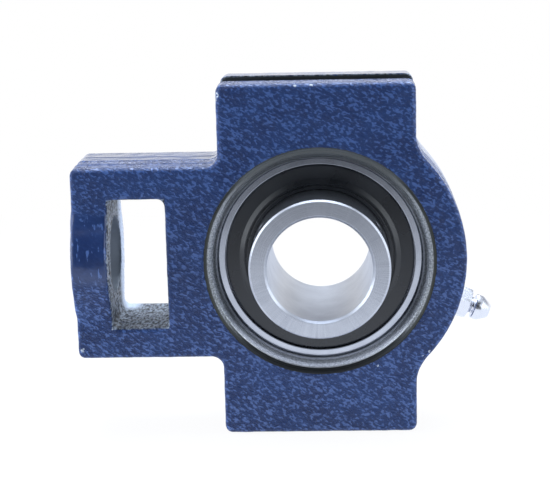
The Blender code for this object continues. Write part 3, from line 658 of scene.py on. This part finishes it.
def grub_screw(radius, length, thread, steps=72):
    """Cup, threaded side, flat head and hexagon socket, as rings from the point to the socket's floor. The
    thread is a triangle wave of the height less the turn, in threads, that fades out at both ends."""
    turn = np.arange(steps) / steps
    side = np.arange(0.55, length - 0.3, thread / 6)[:, None]
    wave = np.abs((side / thread - turn) % 1 - 0.5) * 2
    fade = np.clip(np.minimum(side - 0.5, length - 0.3 - side) / thread, 0, 1)
    cup = np.array([[0], [0.9], [1.35], [radius - 0.5], [radius - 0.15]]) * np.ones(steps)
    head = np.array([[radius - 0.15], [radius - 0.45], [1.75]]) * np.ones(steps)
    socket = np.stack([hexagon(2.7, steps), hexagon(2.5, steps), hexagon(2.5, steps), 0 * turn])
    radii = np.concatenate([cup, radius - 0.38 * wave * fade - 0.02, head, socket])
    heights = np.concatenate([[0.55, 0.3, 0, 0.1, 0.45], side[:, 0], [length - 0.25, length, length],
                              [length, length - 0.12, length - 1.6, length - 1.8]])
    return tower(heights, radii)


grub_length = inner_shoulder - bore - 0.8
for number, angle in enumerate(grub_angles, 1):
    points, faces = grub_screw(radius=2.75, length=grub_length, thread=0.75)
    made_piece(f"socket_grub_{number}", aimed(points, angle, bore + 0.6) + grub_place, faces, black,
               f"grub_{number}", "dark_steel", f"grub_screw_{number}", crease=30)

# Flingers: pressed plates coated with charcoal rubber that turn with the inner ring and cover the
# seals. Each has a collar at the ring and, halfway, a raised ridge whose outer side slopes down.

rubber, tree, shader = surface("charcoal rubber")
grain = use_group(tree, sand_grain, Grain_mm=0.25, Swell_mm=4.0, Swell_share=0.3)
patches = ramped(tree, grain["Patches"], 0.3, 0.7)
tone = mixed(tree, patches, (0.003, 0.004, 0.006, 1), (0.008, 0.010, 0.013, 1))
tree.links.new(tone, shader.inputs["Base Color"])
tree.links.new(ramped(tree, grain["Patches"], 0.3, 0.7, 0.24, 0.32), shader.inputs["Roughness"])
shader.inputs["Specular IOR Level"].default_value = 0.8
bumped(tree, shader, grain["Height"], 0.25, 0.00003)

flinger_low, flinger_high = inner_shoulder + 0.12, recess - 0.25
ridge, back, raised, flat, outer_flat = 18.5, 6.4, 7.3, 7.0, 6.84
outline = [(flinger_low, back, 0), (flinger_low, raised, 0.12), (flinger_low + 0.8, raised, 0.2),
           (flinger_low + 1.0, flat, 0.1), (ridge - 0.6, flat, 0.12), (ridge - 0.3, raised, 0.15),
           (ridge, raised, 0.2), (ridge + 1.1, outer_flat, 0.2), (flinger_high - 0.3, outer_flat, 0.1),
           (flinger_high, 6.7, 0.08), (flinger_high, back, 0)]
profile = softened(outline, 5)
for end, side in (("front", 1), ("rear", -1)):
    points, faces = turned(profile * (1, side), 200)
    made_piece("dust_flinger_" + end, points, faces, rubber, "rotor", "black_rubber", "flinger_" + end,
               crease=40)

# Seals: rubber lips in the outer ring, behind the flingers.

seal_low, seal_high, seal_back, seal_front = inner_shoulder + 0.25, recess - 0.12, 5.55, 6.15
outline = [(seal_low, seal_front, 0.1), (seal_high, seal_front, 0.1), (seal_high, seal_back, 0.1),
           (seal_low, seal_back, 0.1)]
profile = softened(outline, 3)
for end, side in (("front", 1), ("rear", -1)):
    points, faces = turned(profile * (1, side), 144)
    made_piece("lip_seal_" + end, points, faces, rubber, "aligning_ring", "black_rubber", "seal_" + end,
               crease=40)

# Balls: nine bearing balls on the pitch circle, polished.

polished, tree, shader = surface("polished steel")
place = put(tree, "TexCoord").outputs["Object"]
tone = mixed(tree, noise(tree, place, 1.5), (0.74, 0.75, 0.77, 1), (0.80, 0.81, 0.82, 1))
tree.links.new(tone, shader.inputs["Base Color"])
shader.inputs["Metallic"].default_value = 1
tree.links.new(ramped(tree, noise(tree, place, 0.8), 0.3, 0.7, 0.05, 0.1), shader.inputs["Roughness"])


def ball_points(radius, middle, steps=32):
    """Sphere as a half circle, from pole to pole, carried round its own axis."""
    down = np.linspace(0, np.pi, steps // 2 + 1)
    profile = np.stack([radius * np.sin(down), radius * np.cos(down)], axis=1)
    points, faces = turned(profile, steps, closed=False)
    return points + middle, faces


for number in range(9):
    angle = 2 * np.pi * number / 9
    points, faces = ball_points(ball_radius, (pitch * np.cos(angle), 0, pitch * np.sin(angle)))
    made_piece(f"bearing_ball_{number + 1}", points, faces, polished, f"roller_{number + 1}", "bright_steel",
               f"ball_{number + 1}")

# Cage: a crown of moulded nylon, a ring behind the balls with horns that reach between and round them.

nylon, tree, shader = surface("cage nylon")
place = put(tree, "TexCoord").outputs["Object"]
tone = mixed(tree, noise(tree, place, 5.0), (0.60, 0.52, 0.33, 1), (0.72, 0.65, 0.46, 1))
tree.links.new(tone, shader.inputs["Base Color"])
tree.links.new(ramped(tree, noise(tree, place, 1.0), 0.3, 0.7, 0.42, 0.55), shader.inputs["Roughness"])
bumped(tree, shader, noise(tree, place, 0.4), 0.15, 0.00003)

horn, cage_back, half_cage = 1.9, 5.3, 1.4
pocket_radius = ball_radius + 0.35


def cage_skin():
    """The front edge runs along a horn's top, down round a ball's pocket and up again. At each of its points
    the skin goes straight back on the inner and outer sides, and across the front as wide as the cage, where
    a pocket is narrower away from the pitch circle."""
    across = np.linspace(-half_cage, half_cage, 7)[:, None]
    radius = np.sqrt(pocket_radius ** 2 - across ** 2)
    widest = np.arcsin(horn / radius)
    sweep = np.linspace(0, 1, 33)
    bend = widest + (-np.pi - 2 * widest) * sweep
    spacing = 2 * np.pi / 9
    pocket_side = np.arctan2(radius * np.cos(bend), pitch + across)
    top = np.linspace(0, 1, 6)[:-1]
    lead = -spacing / 2 + (spacing / 2 - pocket_side[:, :1]) * top
    angle = np.concatenate([lead, -pocket_side, (-lead[:, ::-1])[:, :-1]], axis=1)
    height = np.concatenate([0 * lead + horn, radius * np.sin(bend), (0 * lead + horn)[:, :-1]], axis=1)
    angle = np.concatenate([angle + spacing * k for k in range(9)], axis=1)
    height = np.tile(height, (1, 9))
    reach = (pitch + across) * np.ones_like(angle)
    even = np.linspace(angle[3, 0], angle[3, 0] + 2 * np.pi, angle.shape[1], endpoint=False)
    back = np.stack([even, even])
    angle = np.concatenate([back[:1], angle, back[1:]])
    reach = np.concatenate([reach[:1], reach, reach[-1:]])
    height = np.concatenate([0 * back[:1] - cage_back, height, 0 * back[1:] - cage_back])
    points = np.stack([reach * np.cos(angle), -height, reach * np.sin(angle)], axis=-1).reshape(-1, 3)
    return points, between(*angle.shape, closed=True)


points, faces = cage_skin()
made_piece("crown_cage", points, faces, nylon, "ball_cage", "cage_nylon", "cage", crease=40)

# Grease fitting: zinc-plated steel, screwed into the boss, with a hexagon, a neck and a button head.
# A ball closes its mouth, pushed there by a coil spring.

zinc, tree, shader = surface("zinc plate")
place = put(tree, "TexCoord").outputs["Object"]
tone = mixed(tree, noise(tree, place, 1.2), (0.78, 0.79, 0.84, 1), (0.88, 0.89, 0.93, 1))
tree.links.new(tone, shader.inputs["Base Color"])
shader.inputs["Metallic"].default_value = 1
tree.links.new(ramped(tree, noise(tree, place, 0.6), 0.3, 0.7, 0.16, 0.28), shader.inputs["Roughness"])
bumped(tree, shader, noise(tree, place, 0.4), 0.15, 0.00003)

hex_low, hex_high, head_low, head_top, lip = 0.3, 3.7, 4.9, 9.1, 0.4
stem_radius, stem_end, chamber_radius, chamber_floor = 2.65, -5.8, 1.15, head_top - 7.4
steps = 96
flats = np.roll(hexagon(7.0, steps), 3)
cone = np.array([3.55, 3.8, 4.05])[:, None]
hex_rows = np.minimum(np.concatenate([cone, cone[::-1]]), flats)
hex_heights = [hex_low, hex_low + 0.15, hex_low + 0.3, hex_high - 0.3, hex_high - 0.15, hex_high]
neck = np.linspace(0, 1, 9)
neck_radius = 2.75 - 0.85 * np.sin(neck * np.pi * 0.62)
head = [(2.95, head_low + 0.15), (3.08, head_low + 0.35), (3.1, head_low + 0.6), (3.1, head_low + 1.7),
        (3.04, head_low + 1.95), (1.85, head_top - 0.25), (1.65, head_top - 0.05), (1.45, head_top),
        (0.95, head_top), (0.76, head_top - 0.12), (0.76, head_top - lip), (chamber_radius, head_top - 0.6),
        (chamber_radius, chamber_floor), (0.7, chamber_floor), (0.7, stem_end)]
stem = [(2.3, stem_end), (stem_radius, -5.4), (stem_radius, 0.0), (stem_radius, hex_low)]
rings = list(zip(neck_radius, hex_high + neck * (head_low - hex_high))) + head
radii = np.concatenate([np.array(stem)[:, :1] * np.ones(steps), hex_rows,
                        np.array(rings)[:, :1] * np.ones(steps), np.full((1, steps), stem[0][0])])
heights = [height for _, height in stem] + hex_heights + [height for _, height in rings] + [stem_end]
points, faces = tower(heights, radii)
made_piece("grease_nipple", aimed(points, fitting_angle, boss), faces, zinc, "casting", "zinc_plate",
           "grease_fitting", crease=28)

check_radius, check_gap = 0.95, 0.2
check_middle = boss + head_top - lip - check_radius - check_gap
points, faces = ball_points(check_radius, (0, 0, 0))
made_piece("check_ball", aimed(points, fitting_angle, check_middle), faces, polished, "check_ball",
           "bright_steel", "fitting_ball")


def coil(radius, wire, length, turns, steps=160, sides=10):
    """Wire swept along a helix: a circle of the wire's radius stands square to the helix at each point."""
    share = np.linspace(0, 1, steps)[:, None]
    angle = share * 2 * np.pi * turns
    rise = wire + share * (length - 2 * wire)
    line = np.concatenate([radius * np.cos(angle), radius * np.sin(angle), rise], axis=1)
    outward = np.concatenate([np.cos(angle), np.sin(angle), 0 * angle], axis=1)
    along = np.gradient(line, axis=0)
    along /= np.linalg.norm(along, axis=1)[:, None]
    across = np.cross(along, outward)
    around = (np.arange(sides) * 2 * np.pi / sides)[None, :, None]
    ring = line[:, None] + wire * (np.cos(around) * outward[:, None] + np.sin(around) * across[:, None])
    tip = [np.repeat(line[:1, None], sides, axis=1), np.repeat(line[-1:, None], sides, axis=1)]
    points = np.concatenate([tip[0], ring, tip[1]]).reshape(-1, 3)
    return points, between(steps + 2, sides)


spring_length = 4.5
spring_foot = check_middle - check_radius - check_gap - spring_length
points, faces = coil(0.69, 0.13, spring_length, turns=4)
spring = made_piece("check_spring", aimed(points, fitting_angle, spring_foot), faces, black, "casting",
                    "dark_steel", "fitting_spring")
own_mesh(spring)

# Camera at the photograph's angle, fitted to the edges of the object in it.

camera = bpy.data.objects.new("camera", bpy.data.cameras.new("camera"))
bpy.context.scene.collection.objects.link(camera)
yaw, pitch_down, roll = np.radians([1.469, -13.25, 1.145])
about_z = np.array([[np.cos(yaw), -np.sin(yaw), 0], [np.sin(yaw), np.cos(yaw), 0], [0, 0, 1]])
about_x = np.array([[1, 0, 0], [0, np.cos(pitch_down), -np.sin(pitch_down)],
                    [0, np.sin(pitch_down), np.cos(pitch_down)]])
about_y = np.array([[np.cos(roll), 0, np.sin(roll)], [0, 1, 0], [-np.sin(roll), 0, np.cos(roll)]])
right, ahead, up = (about_z @ about_x @ about_y).T
pose = np.eye(4)
pose[:3, :3] = np.stack([right, up, -ahead], axis=1)
camera_place = (0.0049, -0.3736, 0.0884)
pose[:3, 3] = np.array(camera_place) + centre
camera.matrix_world = Matrix(pose)
wide, high, focal_length, optical_centre = 550, 500, 1556.1, (301.5, 249.7)
camera.data.lens = focal_length / wide * camera.data.sensor_width
camera.data.shift_x = -(optical_centre[0] - wide / 2) / wide
camera.data.shift_y = (optical_centre[1] - high / 2) / wide
bpy.context.scene.camera = camera

# Photo table and lights: a white sweep under the unit, a large soft light above and behind it, weak ones
# at both front corners, side and overhead lights that no reflection shows, and pale surroundings.

bpy.context.scene.view_settings.view_transform = "Standard"
white, tree, shader = surface("white table")
shader.inputs["Base Color"].default_value = (0.72, 0.77, 0.85, 1)
shader.inputs["Roughness"].default_value = 0.6
place = put(tree, "TexCoord").outputs["Object"]
back = put(tree, "SeparateXYZ", i0=place).outputs[1]
ray = put(tree, "LightPath").outputs
mirrored = maths(tree, "ADD", ray["Is Glossy Ray"], ray["Is Transmission Ray"])
seen = maths(tree, "MULTIPLY", ray["Is Camera Ray"], ramped(tree, back, 0.0, 0.25, 0.94, 1.0))
spread = maths(tree, "MULTIPLY", ray["Is Diffuse Ray"], 0.5)
fading = ramped(tree, back, -0.3, -0.09, 0.36, 1.15)
level = maths(tree, "ADD", maths(tree, "MULTIPLY", mirrored, fading), ray["Is Camera Ray"])
near = ramped(tree, back, -0.18, -0.03, 0.4, 3.1)
level = maths(tree, "ADD", level, maths(tree, "MULTIPLY", ray["Is Diffuse Ray"], near))
shown = maths(tree, "MAXIMUM", maths(tree, "MAXIMUM", seen, mirrored), spread)
tint = mixed(tree, ray["Is Camera Ray"], (0.82, 0.88, 1, 1), (1, 1, 1, 1))
glow = put(tree, "Emission", Color=tint, Strength=level).outputs[0]
mix = put(tree, "MixShader", i0=shown, i1=shader.outputs[0], i2=glow).outputs[0]
open_below = put(tree, "BsdfTransparent").outputs[0]
from_below = put(tree, "NewGeometry").outputs["Backfacing"]
mix = put(tree, "MixShader", i0=from_below, i1=mix, i2=open_below).outputs[0]
tree.links.new(mix, tree.nodes["Material Output"].inputs["Surface"])
table_mesh = bpy.data.meshes.new("table")
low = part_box("housing")[0].z
table_half, table_front, table_back = 3, -0.3, 6
corners = [(-table_half, table_front, low), (table_half, table_front, low),
           (table_half, table_back, low), (-table_half, table_back, low)]
table_mesh.from_pydata(corners, [], [(0, 1, 2, 3)])
table_mesh.materials.append(white)
table = bpy.data.objects.new("table", table_mesh)
bpy.context.scene.collection.objects.link(table)

world = bpy.data.worlds.new("studio")
bpy.context.scene.world = world
world.use_nodes = True
tree = world.node_tree
tree.nodes.clear()
ray = put(tree, "LightPath").outputs
way = put(tree, "TexCoord").outputs["Generated"]
x, y, z = put(tree, "SeparateXYZ", i0=way).outputs
front = mixed(tree, ramped(tree, z, 0.7, 0.98), (0.05, 0.055, 0.065, 1), (1.1, 1.17, 1.3, 1))
front = mixed(tree, ramped(tree, x, -0.42, -0.95), front, (2.5, 2.7, 3.0, 1))
front = mixed(tree, ramped(tree, x, 0.42, 0.95), front, (1.7, 1.84, 2.05, 1))
behind = mixed(tree, ramped(tree, z, 0.12, 0.28), (0.86, 0.91, 1.0, 1), (0.42, 0.45, 0.52, 1))
sky = mixed(tree, ramped(tree, y, -0.3, 0.3), front, behind)
sky = mixed(tree, ramped(tree, z, 0.8, 0.97), sky, (1.3, 1.48, 1.8, 1))
mirrored = maths(tree, "ADD", ray["Is Glossy Ray"], ray["Is Transmission Ray"])
mirrored = maths(tree, "MULTIPLY", mirrored, maths(tree, "MULTIPLY", ramped(tree, y, 0.1, 0.5),
                                                   ramped(tree, z, 0.26, 0.12)))
dim = put(tree, "Background", Color=sky, Strength=1.0).outputs[0]
bright = put(tree, "Background", Color=(1, 1, 1, 1), Strength=1.0).outputs[0]
white_share = maths(tree, "MAXIMUM", ray["Is Camera Ray"], mirrored)
mix = put(tree, "MixShader", i0=white_share, i1=dim, i2=bright).outputs[0]
tree.links.new(mix, put(tree, "OutputWorld").inputs["Surface"])

for name, place, aim, size, power in [("top", (0.0, 0.22, 0.55), (0, 0, 0.03), 0.6, 4.5),
                                      ("left", (-0.45, -0.36, 0.14), (0, 0, 0.04), 0.4, 0.5),
                                      ("right", (0.45, -0.36, 0.14), (0, 0, 0.04), 0.4, 0.5),
                                      ("far_left", (-0.65, 0.0, 0.1), (0, 0, 0.04), 0.4, 11.0),
                                      ("far_right", (0.65, 0.0, 0.1), (0, 0, 0.04), 0.4, 6.0),
                                      ("overhead", (0.0, 0.15, 0.60), (0, 0, 0.03), 0.4, 7.0)]:
    lamp = bpy.data.lights.new(name, "AREA")
    lamp.size = size
    lamp.energy = power
    lamp.color = (0.86, 0.93, 1.0)
    light = bpy.data.objects.new(name, lamp)
    light.visible_glossy = name in ("top", "left", "right")
    bpy.context.scene.collection.objects.link(light)
    light.location = place
    light.rotation_mode = "QUATERNION"
    light.rotation_quaternion = (Vector(aim) - Vector(place)).to_track_quat("-Z", "Y")
